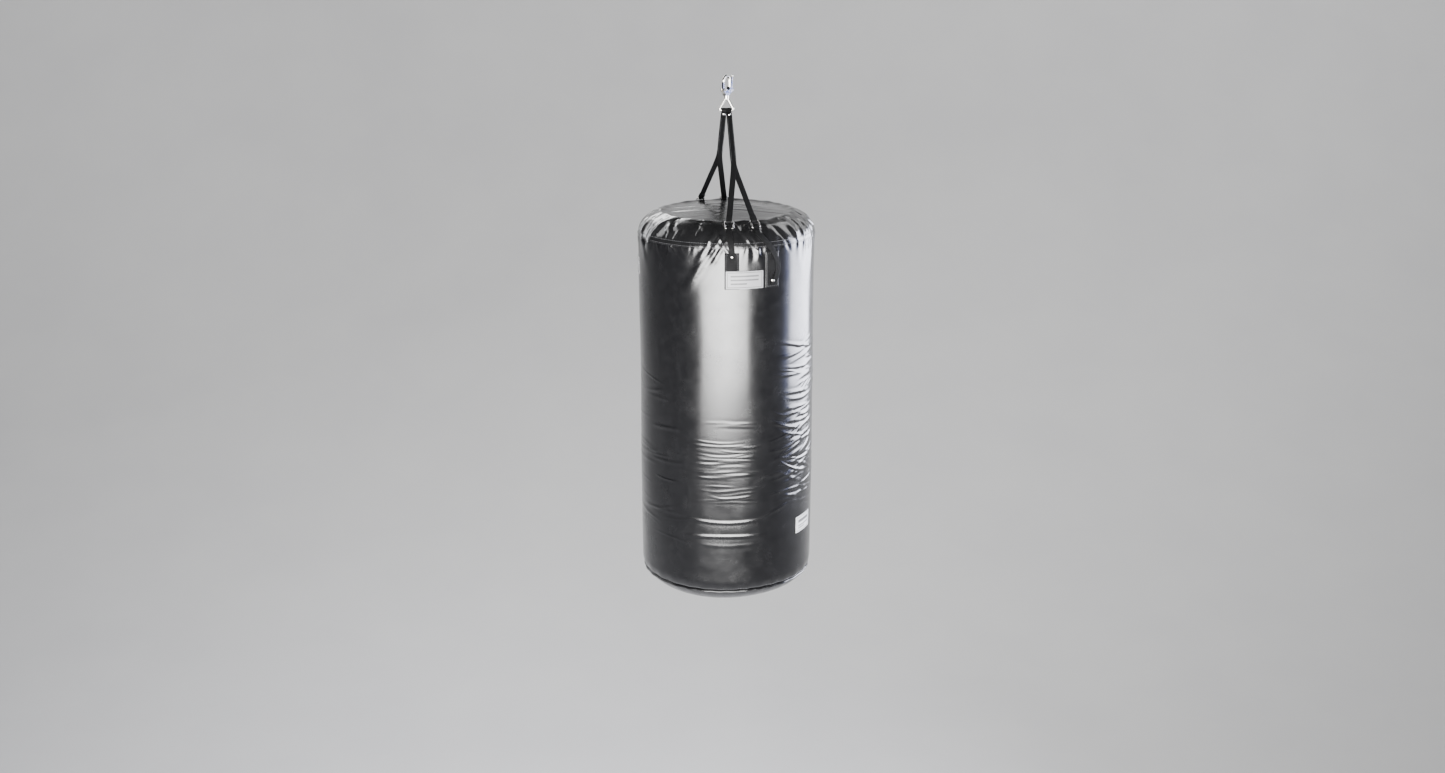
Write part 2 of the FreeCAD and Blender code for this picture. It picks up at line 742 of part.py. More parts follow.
CORNERS = [f"{face}_{hand}" for face in ("front", "back") for hand in ("left", "right")]
NODES = [
    "hook", "gate", "thumb_lever", "gate_pin", "lever_pin", "gate_spring", "swivel_washer", "bail",
    "front_strap", "back_strap", "loop_rivets",
    *[f"{corner}_{piece}" for corner in CORNERS for piece in ("ring", "anchor", "patch", "rivet")],
    "top_cap", "side_shell", "bottom_panel", "cap_binding", "foot_piping", "foam_liner", "fibre_fill",
    "front_label", "side_label", "low_label",
]


def write_parts():
    doc.recompute()
    broken = [thing.Name for thing in doc.Objects if {"Invalid", "Error"} & set(thing.State)]
    if broken:
        raise RuntimeError(f"these objects failed: {broken}")
    os.makedirs("parts", exist_ok=True)
    for name in NODES:
        thing = doc.getObject(name)
        thing.Label = name
        shape = thing.Shape
        if shape.isNull() or not shape.isValid() or shape.Volume <= 0:
            raise RuntimeError(f"{name} has no valid solid")
        shape.exportStep(f"parts/{name}.step")
        print(name, "solids", len(shape.Solids), "volume", round(shape.Volume, 1))


make_bag()
make_labels()
make_hook()
make_gate()
make_swivel()
make_webbing()
write_parts()
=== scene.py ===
"""The look of the hanging punching bag: vinyl cover, webbing, plated hardware, labels, light and camera.

Row frame, metres: origin at the hook's seat, +Z up, the bag's front towards -Y. An azimuth is measured from
the front (-Y) towards +X. "Arc" is the distance along the cover from the top's centre towards the foot.
"""

import math

import bpy
import numpy as np
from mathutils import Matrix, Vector


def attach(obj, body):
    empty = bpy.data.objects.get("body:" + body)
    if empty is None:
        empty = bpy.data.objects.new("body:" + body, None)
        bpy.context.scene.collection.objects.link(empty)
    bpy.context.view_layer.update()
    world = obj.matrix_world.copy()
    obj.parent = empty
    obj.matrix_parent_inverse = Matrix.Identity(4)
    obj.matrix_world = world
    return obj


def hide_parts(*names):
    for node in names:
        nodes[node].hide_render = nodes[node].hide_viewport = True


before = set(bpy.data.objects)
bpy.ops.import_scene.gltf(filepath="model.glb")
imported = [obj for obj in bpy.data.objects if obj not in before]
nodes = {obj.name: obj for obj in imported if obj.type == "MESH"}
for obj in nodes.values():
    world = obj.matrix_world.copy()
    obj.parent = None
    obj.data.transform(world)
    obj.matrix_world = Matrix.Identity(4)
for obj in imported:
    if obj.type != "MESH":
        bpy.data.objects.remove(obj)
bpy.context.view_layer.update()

# ---- the cover's plain form -------------------------------------------------------------------

RADIUS = 0.175
TOP = -0.2585
FOOT = -1.0285
SHOULDER = 0.050
TOE = 0.052
CROWN_RISE = 0.008
BELLY_DROP = 0.009
SEAM_Z = TOP - 0.038
FOOT_SEAM_Z = FOOT + 0.029
VIEW_AZIMUTH = -11.4


def arc_points(centre, radius, first, last, count):
    angles = np.radians(np.linspace(first, last, count))
    return [(centre[0] + radius * math.cos(a), centre[1] + radius * math.sin(a)) for a in angles]


def make_profile():
    """Arc lengths, radii, heights and normals along the cover, from the crown's centre to the belly's."""
    span = RADIUS - SHOULDER
    ball = (span**2 + CROWN_RISE**2) / (2 * CROWN_RISE)
    edge = math.degrees(math.asin(span / ball))
    points = arc_points((0, TOP + CROWN_RISE - ball), ball, 90, 90 - edge, 60)
    points += arc_points((span, TOP - SHOULDER), SHOULDER, 90 - edge, 0, 60)[1:]
    points += [(RADIUS, z) for z in np.linspace(TOP - SHOULDER, FOOT + TOE, 90)[1:]]
    span = RADIUS - TOE
    ball = (span**2 + BELLY_DROP**2) / (2 * BELLY_DROP)
    edge = math.degrees(math.asin(span / ball))
    points += arc_points((span, FOOT + TOE), TOE, 0, -90 + edge, 60)[1:]
    points += arc_points((0, FOOT - BELLY_DROP + ball), ball, -90 + edge, -90, 60)[1:]
    points = np.array(points)
    steps = np.hypot(*np.diff(points, axis=0).T)
    arc = np.concatenate([[0], np.cumsum(steps)])
    even = np.linspace(0, arc[-1], 1200)
    rho, z = np.interp(even, arc, points[:, 0]), np.interp(even, arc, points[:, 1])
    tangent = np.array([np.gradient(rho, even), np.gradient(z, even)])
    tangent /= np.hypot(*tangent)
    return even, rho, z, -tangent[1], tangent[0]


ARC, RHO, HEIGHT, NORMAL_OUT, NORMAL_UP = make_profile()
LENGTH = ARC[-1]
CREASE_ARC = float(np.interp(RADIUS - SHOULDER + 0.004, RHO[:300], ARC[:300]))
WALL = slice(int(np.argmax(RHO > RADIUS - 0.03)), None)


def arc_at(z):
    """The arc length at a height on the shoulder, wall or foot."""
    keep = WALL
    return float(np.interp(-z, -HEIGHT[keep], ARC[keep]))


SEAM_ARC = arc_at(SEAM_Z)
FOOT_SEAM_ARC = arc_at(FOOT_SEAM_Z)


def wrap(angle):
    return (angle + math.pi) % (2 * math.pi) - math.pi


def smooth(low, high, value):
    t = np.clip((value - low) / (high - low), 0, 1)
    return t * t * (3 - 2 * t)


# ---- folds and wrinkles -----------------------------------------------------------------------


def fold(offset, width):
    """A rounded ridge with a shallow valley at each side."""
    return np.exp(-((offset / width) ** 2)) - 0.45 * np.exp(-((offset / (2.3 * width)) ** 2))


def seen(azimuth):
    """A row azimuth, in radians, from degrees as the camera sees them."""
    return math.radians(azimuth + VIEW_AZIMUTH)


def make_gathers():
    """Pleats where the top cover meets its seam: azimuth, lean, width, height, reach up and down."""
    rng = np.random.default_rng(11)
    pleats = []
    azimuth = 0.0
    while azimuth < 360:
        azimuth += rng.uniform(4.0, 9.5)
        height = rng.uniform(0.0008, 0.0026) * rng.choice([1, 1, -0.8])
        pleats.append((math.radians(azimuth), rng.uniform(-0.7, 0.7), rng.uniform(0.0028, 0.0062), height,
                       rng.uniform(0.028, 0.062), rng.uniform(0.012, 0.036)))
    for view_azimuth, lean, width, height, up, down in (
        (-12, 0.45, 0.0050, 0.0034, 0.030, 0.070), (-7, 0.62, 0.0045, 0.0036, 0.020, 0.062),
        (-2, 0.55, 0.0040, 0.0028, 0.016, 0.050), (14, 0.10, 0.0040, 0.0022, 0.020, 0.040),
        (19, -0.25, 0.0042, 0.0026, 0.018, 0.044), (52, -0.15, 0.0050, 0.0032, 0.040, 0.060),
        (60, 0.12, 0.0044, 0.0030, 0.050, 0.052), (70, -0.10, 0.0050, 0.0034, 0.045, 0.064),
        (-38, -0.55, 0.0060, 0.0034, 0.050, 0.020), (-58, 0.50, 0.0070, 0.0036, 0.060, 0.030),
        (-70, -0.35, 0.0060, 0.0032, 0.055, 0.044),
    ):
        pleats.append((seen(view_azimuth), lean, width, height, up, down))
    return pleats


def make_wrinkles():
    """Level wrinkles on the wall: azimuth, height, half-length, width, rise, tilt and bow."""
    rng = np.random.default_rng(23)
    wrinkles = [
        (seen(0), FOOT + 0.177, 0.070, 0.0032, 0.0011, 0.00, 0.05),
        (seen(-1), FOOT + 0.148, 0.078, 0.0034, 0.0012, 0.01, -0.03),
        (seen(2), FOOT + 0.128, 0.060, 0.0040, 0.0004, 0.00, 0.03),
    ]
    for _ in range(46):
        wrinkles.append((seen(rng.normal(0, 11)), FOOT + rng.uniform(0.215, 0.385), rng.uniform(0.022, 0.055),
                         rng.uniform(0.0016, 0.0034), rng.uniform(0.00012, 0.00042), rng.normal(0, 0.04),
                         rng.normal(0, 0.05)))
    for _ in range(95):
        wrinkles.append((seen(rng.normal(66, 15)), FOOT + rng.uniform(0.19, 0.53), rng.uniform(0.020, 0.055),
                         rng.uniform(0.0020, 0.0048), rng.uniform(0.0004, 0.0013), rng.normal(0.06, 0.20),
                         rng.normal(0, 0.10)))
    for _ in range(120):
        wrinkles.append((rng.uniform(math.radians(70), math.radians(320)), FOOT + rng.uniform(0.13, 0.52),
                         rng.uniform(0.02, 0.07), rng.uniform(0.0020, 0.0045), rng.uniform(0.0002, 0.0008),
                         rng.normal(0, 0.10), rng.normal(0, 0.08)))
    return wrinkles


def make_streaks():
    """Long slack lines across the top: offset from the centre, direction, width, rise."""
    rng = np.random.default_rng(5)
    streaks = []
    for _ in range(26):
        streaks.append((rng.uniform(-0.115, 0.115), math.radians(VIEW_AZIMUTH + rng.normal(4, 9)),
                        rng.uniform(0.0028, 0.0062), rng.uniform(0.0003, 0.0009) * rng.choice([1, -1]),
                        rng.uniform(-0.06, 0.06), rng.uniform(0.045, 0.10)))
    return streaks


GATHERS, WRINKLES, STREAKS = make_gathers(), make_wrinkles(), make_streaks()
SLACK = None


def gathers(azimuth, arc):
    """The pleats alone."""
    above = SEAM_ARC - arc
    out = np.zeros(np.broadcast(azimuth, arc).shape)
    for middle, lean, width, height, up, down in GATHERS:
        across = wrap(azimuth - middle) * RADIUS - lean * above
        spread = width * (1 + np.abs(above) / 0.045)
        hold = np.where(above > 0, 1 - smooth(up * 0.5, up * 1.15, above), np.exp(-((above / down) ** 2)))
        pinch = 0.35 + 0.65 * smooth(0.001, 0.010, np.abs(above))
        out += height * fold(across, spread) * hold * pinch
    return out


def relief(azimuth, arc):
    """How far the cover stands off its plain form at each azimuth and arc length."""
    z = np.interp(arc, ARC, HEIGHT)
    rho = np.interp(arc, ARC, RHO)
    if SLACK is None:
        out = gathers(azimuth, arc)
    else:
        out = 0.45 * gathers(azimuth, arc) + 1.25 * from_grid(*SLACK, azimuth, arc)
    for middle, level, reach, width, rise, tilt, bow in WRINKLES:
        along = wrap(azimuth - middle) * RADIUS
        off = z - level - tilt * along - bow * along**2 / reach
        out += rise * fold(off, width) * np.exp(-((along / reach) ** 4)) * (arc > SEAM_ARC)
    x, y = rho * np.sin(azimuth), -rho * np.cos(azimuth)
    on_top = 1 - smooth(CREASE_ARC - 0.018, CREASE_ARC + 0.006, arc)
    for offset, heading, width, rise, middle, reach in STREAKS:
        along = x * math.cos(heading) + y * math.sin(heading)
        across = -x * math.sin(heading) + y * math.cos(heading) - offset
        out += on_top * rise * fold(across, width) * np.exp(-(((along - middle) / reach) ** 4))
    edge = 1 + 0.30 * np.sin(9 * azimuth + 0.7) + 0.25 * np.sin(23 * azimuth)
    out += 0.0018 * edge * np.exp(-(((arc - CREASE_ARC) / 0.0075) ** 2))
    out -= 0.0022 * on_top * smooth(0.02, 0.09, rho)
    slow = np.sin(2 * azimuth + 9 * z) + 0.7 * np.sin(3 * azimuth - 14 * z + 1.0)
    slow += 0.5 * np.sin(5 * azimuth + 21 * z)
    out += 0.00055 * slow * (1 - on_top)
    out -= 0.0012 * np.exp(-(((arc - FOOT_SEAM_ARC) / 0.004) ** 2))
    toe = np.sin(34 * azimuth + 2 * np.sin(3 * azimuth)) * np.exp(-(((arc - FOOT_SEAM_ARC) / 0.016) ** 2))
    return out + 0.0005 * toe


def place(azimuth, arc, lift=0.0, with_relief=True):
    """Points on the cover, lifted off it."""
    azimuth, arc = np.broadcast_arrays(np.asarray(azimuth, float), np.asarray(arc, float))
    off = lift + (relief(azimuth, arc) if with_relief else 0.0)
    rho = np.interp(arc, ARC, RHO) + off * np.interp(arc, ARC, NORMAL_OUT)
    z = np.interp(arc, ARC, HEIGHT) + off * np.interp(arc, ARC, NORMAL_UP)
    return np.stack([rho * np.sin(azimuth), -rho * np.cos(azimuth), z], axis=-1)


# ---- mesh helpers -----------------------------------------------------------------------------


def mesh_object(name, points, faces, uvs=None, smooth_shaded=True):
    mesh = bpy.data.meshes.new(name)
    mesh.from_pydata(np.asarray(points).reshape(-1, 3).tolist(), [], [list(map(int, f)) for f in faces])
    if uvs is not None:
        layer = mesh.uv_layers.new(name="weave")
        index = np.array([loop.vertex_index for loop in mesh.loops])
        layer.data.foreach_set("uv", np.asarray(uvs, float).reshape(-1, 2)[index].ravel())
    mesh.polygons.foreach_set("use_smooth", [smooth_shaded] * len(mesh.polygons))
    mesh.update()
    made = bpy.data.objects.new(name, mesh)
    bpy.context.scene.collection.objects.link(made)
    return made


def grid_faces(rows, columns, closed):
    """Quads of a grid whose vertices run row by row."""
    i, j = np.meshgrid(np.arange(rows - 1), np.arange(columns if closed else columns - 1), indexing="ij")
    right = (j + 1) % columns
    above, below = i * columns, (i + 1) * columns
    return np.stack([above + j, below + j, below + right, above + right], -1).reshape(-1, 4)


def turned_form(name, points):
    """A skin through rings of points, with the ends closed where they meet the bag's axis."""
    rows, columns = points.shape[:2]
    faces, extra = grid_faces(rows, columns, True).tolist(), []
    for row, step in ((0, 1), (rows - 1, -1)):
        if np.hypot(*points[row, 0, :2]) < 0.001:
            pole = rows * columns + len(extra)
            extra.append(points[row].mean(axis=0))
            ring = [row * columns + j for j in range(columns)][::step]
            faces += [[pole, ring[j - 1], ring[j]] for j in range(columns)]
    return mesh_object(name, np.vstack([points.reshape(-1, 3), *[e[None] for e in extra]]), faces)


def cover_part(name, first, last, rows, columns, lift=0.0):
    """A full turn of the cover between two arc lengths."""
    azimuth = np.linspace(0, 2 * math.pi, columns, endpoint=False)[None, :]
    arc = np.linspace(first, last, rows)[:, None]
    return turned_form(name, place(azimuth, arc, lift))


def give_thickness(thing, thickness, bevel=0.0):
    solid = thing.modifiers.new("thickness", "SOLIDIFY")
    solid.thickness = thickness
    solid.offset = -1.0
    if bevel:
        round_off = thing.modifiers.new("rounding", "BEVEL")
        round_off.width = bevel
        round_off.segments = 2
        round_off.limit_method = "ANGLE"
    return thing


def capsule_row(name, centres, directions, ups, length, radius):
    """Small rounded thread ends: one capsule at each centre."""
    centres, directions, ups = (np.asarray(a, float) for a in (centres, directions, ups))
    directions = directions / np.linalg.norm(directions, axis=1, keepdims=True)
    sides = np.cross(ups, directions)
    sides /= np.linalg.norm(sides, axis=1, keepdims=True)
    ups = np.cross(directions, sides)
    stations = ((-0.5, 0.35), (-0.36, 0.9), (0.0, 1.0), (0.36, 0.9), (0.5, 0.35))
    turn = np.linspace(0, 2 * math.pi, 6, endpoint=False)
    points, faces = [], []
    for along, size in stations:
        ring = (np.cos(turn)[None, :, None] * sides[:, None] + np.sin(turn)[None, :, None] * ups[:, None])
        points.append(centres[:, None] + directions[:, None] * along * length + ring * radius * size)
    points = np.stack(points, axis=1)
    base = grid_faces(len(stations), 6, True)[:, ::-1]
    for k in range(len(centres)):
        start = k * len(stations) * 6
        faces += (base + start).tolist()
        faces.append([start + j for j in range(5, -1, -1)])
        faces.append([start + (len(stations) - 1) * 6 + j for j in range(6)])
    return mesh_object(name, points, faces)


def unit(v):
    return v / np.linalg.norm(v)


def smooth_path(points, count):
    """A Catmull-Rom course through points, evenly spaced."""
    p = np.asarray(points, float)
    p = np.vstack([2 * p[0] - p[1], p, 2 * p[-1] - p[-2]])
    course = []
    for k in range(1, len(p) - 2):
        t = np.linspace(0, 1, 24, endpoint=False)[:, None]
        a, b, c, d = p[k - 1], p[k], p[k + 1], p[k + 2]
        course.append(0.5 * (2 * b + (c - a) * t + (2 * a - 5 * b + 4 * c - d) * t**2
                             + (3 * b - a - 3 * c + d) * t**3))
    course = np.vstack([*course, p[-2][None]])
    arc = np.concatenate([[0], np.cumsum(np.linalg.norm(np.diff(course, axis=0), axis=1))])
    even = np.linspace(0, arc[-1], count)
    return np.stack([np.interp(even, arc, course[:, k]) for k in range(course.shape[1])], -1)


# ---- the gathered band, by cloth simulation ---------------------------------------------------


def from_grid(rows, values, azimuth, arc):
    """Values on a grid of arc lengths and even azimuths, read between its points; 0 off its ends."""
    columns = values.shape[1]
    azimuth, arc = np.broadcast_arrays(azimuth, arc)
    column = (azimuth / (2 * math.pi) * columns) % columns
    row = np.clip((arc - rows[0]) / (rows[1] - rows[0]), 0, len(rows) - 1.001)
    j, i = column.astype(int) % columns, row.astype(int)
    u, v = column - np.floor(column), row - i
    k = (j + 1) % columns
    upper = values[i, j] * (1 - u) + values[i, k] * u
    lower = values[i + 1, j] * (1 - u) + values[i + 1, k] * u
    return (upper * (1 - v) + lower * v) * ((arc > rows[0]) & (arc < rows[-1]))


def simulate_cover(columns=320, rows=64, frames=18):
    """Lets the gathered cover settle round its seam, by cloth simulation.

    The cover is cut generously near the seam, held along the seam and at both ends of the band, and pushed
    out by its filling. Returns the rows' arc lengths and how far each point ended off the plain form.
    """
    azimuth = np.linspace(0, 2 * math.pi, columns, endpoint=False)
    arc = np.linspace(CREASE_ARC - 0.030, SEAM_ARC + 0.120, rows)
    start = place(azimuth[None, :], arc[:, None], 0.5 * gathers(azimuth[None, :], arc[:, None]), False)
    plain = place(azimuth[None, :], arc[:, None], 0.0, False)
    cover = mesh_object("cloth_cover", start, grid_faces(rows, columns, True))
    generous = cover.vertex_groups.new(name="generous")
    held = cover.vertex_groups.new(name="held")
    seam_row = int(np.argmin(np.abs(arc - SEAM_ARC)))
    for row in range(rows):
        members = list(range(row * columns, (row + 1) * columns))
        generous.add(members, math.exp(-(((arc[row] - SEAM_ARC) / 0.060) ** 2)), "REPLACE")
        if row in (0, rows - 1, seam_row):
            held.add(members, 1.0, "REPLACE")
    cloth = cover.modifiers.new("cloth", "CLOTH")
    kit = cloth.settings
    kit.quality = 5
    kit.mass = 0.25
    kit.tension_stiffness = kit.compression_stiffness = 25
    kit.shear_stiffness = 12
    kit.bending_stiffness = 0.5
    kit.air_damping = 4
    kit.vertex_group_mass = "held"
    kit.pin_stiffness = 1.0
    kit.vertex_group_shrink = "generous"
    kit.shrink_min, kit.shrink_max = 0.0, -0.06
    kit.use_pressure = True
    kit.uniform_pressure_force = 4
    kit.effector_weights.gravity = 0
    cloth.collision_settings.use_collision = False
    cloth.point_cache.frame_start, cloth.point_cache.frame_end = 1, frames
    scene = bpy.context.scene
    for step in range(1, frames + 1):
        scene.frame_set(step)
    settled = cover.evaluated_get(bpy.context.evaluated_depsgraph_get()).to_mesh()
    ended = np.empty(len(settled.vertices) * 3)
    settled.vertices.foreach_get("co", ended)
    ended = ended.reshape(rows, columns, 3)
    out = np.stack([np.sin(azimuth), -np.cos(azimuth), np.zeros(columns)], -1)
    normal = out[None] * np.interp(arc, ARC, NORMAL_OUT)[:, None, None]
    normal = normal + np.array([0, 0, 1.0]) * np.interp(arc, ARC, NORMAL_UP)[:, None, None]
    moved = np.sum((ended - plain) * normal, axis=-1)
    bpy.data.objects.remove(cover)
    scene.frame_set(1)
    moved -= moved.mean(axis=1, keepdims=True) * 0.8
    moved *= (smooth(arc[0], arc[0] + 0.02, arc) * (1 - smooth(arc[-1] - 0.04, arc[-1], arc)))[:, None]
    return arc, np.clip(moved, -0.004, 0.004)


SLACK = simulate_cover()

# ---- materials --------------------------------------------------------------------------------


class Finish:
    """A Principled material with procedural detail. Each method adds nodes to it."""

    def __init__(self, name, color, roughness, **inputs):
        self.material = bpy.data.materials.new(name)
        self.material.use_nodes = True
        self.tree = self.material.node_tree
        self.shader = self.tree.nodes["Principled BSDF"]
        self.shader.inputs["Base Color"].default_value = (*color, 1)
        self.shader.inputs["Roughness"].default_value = roughness
        for key, value in inputs.items():
            self.shader.inputs[key.replace("_", " ")].default_value = value
        self.bumps = None

    def add(self, kind, **settings):
        node = self.tree.nodes.new(kind)
        for key, value in settings.items():
            if key in node.inputs:
                node.inputs[key].default_value = value
            else:
                setattr(node, key, value)
        return node

    def link(self, source, target):
        self.tree.links.new(source, target)
        return target

    def coordinates(self, kind="Object", scale=(1, 1, 1)):
        source = self.add("ShaderNodeTexCoord").outputs[kind]
        mapping = self.add("ShaderNodeMapping")
        mapping.inputs["Scale"].default_value = scale
        self.link(source, mapping.inputs["Vector"])
        return mapping.outputs["Vector"]

    def noise(self, scale, detail=4, rough=0.55, vector=None):
        node = self.add("ShaderNodeTexNoise", Scale=scale, Detail=detail, Roughness=rough)
        self.link(vector or self.coordinates(), node.inputs["Vector"])
        return node.outputs["Fac"]

    def cells(self, scale, feature="SMOOTH_F1", vector=None):
        node = self.add("ShaderNodeTexVoronoi", feature=feature)
        node.inputs["Scale"].default_value = scale
        self.link(vector or self.coordinates(), node.inputs["Vector"])
        return node.outputs["Distance"]

    def between(self, factor, low, high, start=0.3, end=0.7):
        """A factor mapped from start..end to low..high."""
        node = self.add("ShaderNodeMapRange")
        for key, value in (("From Min", start), ("From Max", end), ("To Min", low), ("To Max", high)):
            node.inputs[key].default_value = value
        self.link(factor, node.inputs["Value"])
        return node.outputs["Result"]

    def mixed(self, factor, first, second, start=0.3, end=0.7):
        """A colour between two colours."""
        ramp = self.add("ShaderNodeValToRGB")
        ramp.color_ramp.elements[0].position, ramp.color_ramp.elements[1].position = start, end
        ramp.color_ramp.elements[0].color = (*first, 1)
        ramp.color_ramp.elements[1].color = (*second, 1)
        self.link(factor, ramp.inputs["Fac"])
        return ramp.outputs["Color"]

    def sum(self, first, second, operation="ADD"):
        node = self.add("ShaderNodeMath", operation=operation)
        for value, socket in ((first, node.inputs[0]), (second, node.inputs[1])):
            if isinstance(value, (int, float)):
                socket.default_value = value
            else:
                self.link(value, socket)
        return node.outputs[0]

    def bump(self, height, strength, distance):
        node = self.add("ShaderNodeBump", Strength=strength, Distance=distance)
        self.link(height, node.inputs["Height"])
        if self.bumps is not None:
            self.link(self.bumps, node.inputs["Normal"])
        self.bumps = node.outputs["Normal"]
        self.link(self.bumps, self.shader.inputs["Normal"])
        return self

    def to(self, source, name):
        self.link(source, self.shader.inputs[name])
        return self


def vinyl(name, color, roughness, grain=0.10, gloss=1.0):
    """Calendered vinyl: a tight grain, cloudy gloss and a little dust in random patches."""
    made = Finish(name, color, roughness, IOR=1.58, Coat_Weight=0.35 * gloss, Coat_Roughness=0.13)
    cloudy = made.noise(26, 5)
    fine = made.noise(420, 3)
    gloss_map = made.between(cloudy, roughness * 0.8, roughness * 1.25)
    made.to(made.sum(gloss_map, made.between(fine, -0.015, 0.02)), "Roughness")
    dusty = made.noise(60, 8, 0.7)
    made.to(made.mixed(dusty, color, [c * 1.5 + 0.003 for c in color], 0.45, 0.8), "Base Color")
    made.bump(made.cells(1150), grain, 0.00010)
    made.bump(made.noise(2600, 2), grain * 0.6, 0.00005)
    made.bump(made.noise(75, 4, 0.6), 0.10, 0.0006)
    return made.material


def webbing(name, color):
    """Woven nylon: warp cords along the strap, weft picks across them, in a two-row twill."""
    made = Finish(name, color, 0.72, IOR=1.22)
    uv = made.add("ShaderNodeUVMap", uv_map="weave").outputs["UV"]
    split = made.add("ShaderNodeSeparateXYZ")
    made.link(uv, split.inputs[0])
    u, v = split.outputs[0], split.outputs[1]
    warp = made.sum(made.sum(u, 2 * math.pi / 0.0011, "MULTIPLY"), 0, "SINE")
    slant = made.sum(made.sum(u, 0.9, "MULTIPLY"), v)
    weft = made.sum(made.sum(slant, 2 * math.pi / 0.0017, "MULTIPLY"), 0, "SINE")
    weave = made.sum(made.sum(warp, 1.0), made.sum(weft, 1.0), "MULTIPLY")
    # painted shade and highlight: the weave's dips are coloured darker and its raised cords lighter,
    # following the same height as the bump
    shade = made.between(weave, 0.0, 1.0, 0.2, 3.6)
    low, high = [c * 0.45 for c in color], [c * 1.7 + 0.004 for c in color]
    made.to(made.mixed(shade, low, high, 0.0, 1.0), "Base Color")
    made.to(made.between(made.noise(180, 4), 0.52, 0.72), "Roughness")
    made.bump(weave, 0.35, 0.00018)
    made.bump(made.noise(1500, 3), 0.25, 0.0001)
    return made.material


def plated(name, color, roughness):
    """Nickel plate: polished, with hair scratches and cloudy patches of wear."""
    made = Finish(name, color, roughness, Metallic=1.0)
    scratches = made.noise(900, 3, 0.7, made.coordinates("Object", (1, 1, 0.06)))
    clouds = made.noise(140, 5)
    gloss_map = made.between(clouds, roughness * 0.7, roughness * 1.6)
    made.to(made.sum(gloss_map, made.between(scratches, -0.03, 0.05)), "Roughness")
    made.to(made.mixed(clouds, color, [c * 0.86 for c in color], 0.35, 0.75), "Base Color")
    made.bump(scratches, 0.06, 0.00006)
    made.bump(made.noise(60, 3), 0.08, 0.0003)
    return made.material


def label_print(name, ground, ink, width, height, bars):
    """A plain label: a border line and level bars on a satin ground. Its UVs are metres from its corner."""
    made = Finish(name, ground, 0.38)
    uv = made.add("ShaderNodeUVMap", uv_map="weave").outputs["UV"]
    split = made.add("ShaderNodeSeparateXYZ")
    made.link(uv, split.inputs[0])
    u, v = split.outputs[0], split.outputs[1]

    def inside(value, low, high):
        return made.sum(made.sum(value, low, "GREATER_THAN"), made.sum(value, high, "LESS_THAN"), "MULTIPLY")

    frame_out = made.sum(inside(u, 0.0022, width - 0.0022), inside(v, 0.0022, height - 0.0022), "MULTIPLY")
    frame_in = made.sum(inside(u, 0.0034, width - 0.0034), inside(v, 0.0034, height - 0.0034), "MULTIPLY")
    ink_mask = made.sum(frame_out, frame_in, "SUBTRACT")
    for left, right, low, high in bars:
        bar = made.sum(inside(u, left, right), inside(v, low, high), "MULTIPLY")
        ink_mask = made.sum(ink_mask, bar, "MAXIMUM")
    worn = made.between(made.noise(700, 4), 0.75, 1.0)
    made.to(made.mixed(made.sum(ink_mask, worn, "MULTIPLY"), ground, ink, 0.0, 1.0), "Base Color")
    threads = made.sum(made.sum(v, 2 * math.pi / 0.0009, "MULTIPLY"), 0, "SINE")
    made.to(made.between(made.noise(220, 4), 0.28, 0.5), "Roughness")
    made.bump(threads, 0.18, 0.00008)
    made.bump(ink_mask, 0.4, 0.0002)
    return made.material


def speckled(name, first, second, scale, roughness, depth):
    made = Finish(name, first, roughness)
    made.to(made.mixed(made.noise(scale, 5), first, second), "Base Color")
    made.bump(made.cells(scale * 3), 0.5, depth)
    return made.material


BLACK = (0.0040, 0.0040, 0.0046)
SIDE_VINYL = vinyl("side_vinyl", BLACK, 0.23)
CAP_VINYL = vinyl("cap_vinyl", (0.0060, 0.0060, 0.0064), 0.22, 0.16)
FOOT_VINYL = vinyl("foot_vinyl", (0.0065, 0.0065, 0.0070), 0.24, 0.2)
PATCH_VINYL = vinyl("patch_vinyl", (0.0065, 0.0065, 0.007), 0.26, 0.3, 0.6)
TAB_VINYL = vinyl("tab_vinyl", (0.0030, 0.0030, 0.0034), 0.66, 0.6, 0.0)
TAB_VINYL.node_tree.nodes["Principled BSDF"].inputs["IOR"].default_value = 1.20
WEBBING = webbing("black_webbing", (0.0030, 0.0030, 0.0034))
THREAD = speckled("thread", (0.050, 0.050, 0.054), (0.095, 0.095, 0.10), 900, 0.45, 0.0002)
NICKEL = plated("nickel_plate", (0.62, 0.60, 0.56), 0.15)
RING_STEEL = plated("ring_steel", (0.55, 0.54, 0.53), 0.20)
SPRING_STEEL = plated("spring_steel", (0.50, 0.50, 0.52), 0.30)
FOAM = speckled("foam", (0.33, 0.33, 0.35), (0.42, 0.42, 0.44), 300, 0.9, 0.0006)
FIBRE = speckled("shredded_textile", (0.30, 0.26, 0.22), (0.52, 0.5, 0.47), 90, 0.95, 0.002)


def paint(thing, material):
    thing.data.materials.clear()
    thing.data.materials.append(material)
    return thing


def tidy_cad(name, material, bevel=0.0):
    """A carried-over CAD piece: smooth where it is round, with its sharp corners eased."""
    thing = nodes[name]
    paint(thing, material)
    if bevel:
        ease = thing.modifiers.new("ease", "BEVEL")
        ease.width = bevel
        ease.segments = 2
        ease.limit_method = "ANGLE"
        ease.angle_limit = math.radians(35)
    weld = thing.modifiers.new("shade", "WEIGHTED_NORMAL")
    weld.keep_sharp = True
    return thing


CORNERS = [f"{face}_{hand}" for face in ("front", "back") for hand in ("left", "right")]
for node_name in ("hook", "gate", "thumb_lever"):
    tidy_cad(node_name, NICKEL, 0.0008)
for node_name in ("bail", "gate_pin", "lever_pin", "swivel_washer", "loop_rivets"):
    tidy_cad(node_name, NICKEL)
tidy_cad("gate_spring", SPRING_STEEL)
for corner in CORNERS:
    tidy_cad(corner + "_ring", RING_STEEL)
    tidy_cad(corner + "_rivet", NICKEL)

# ---- the cover --------------------------------------------------------------------------------

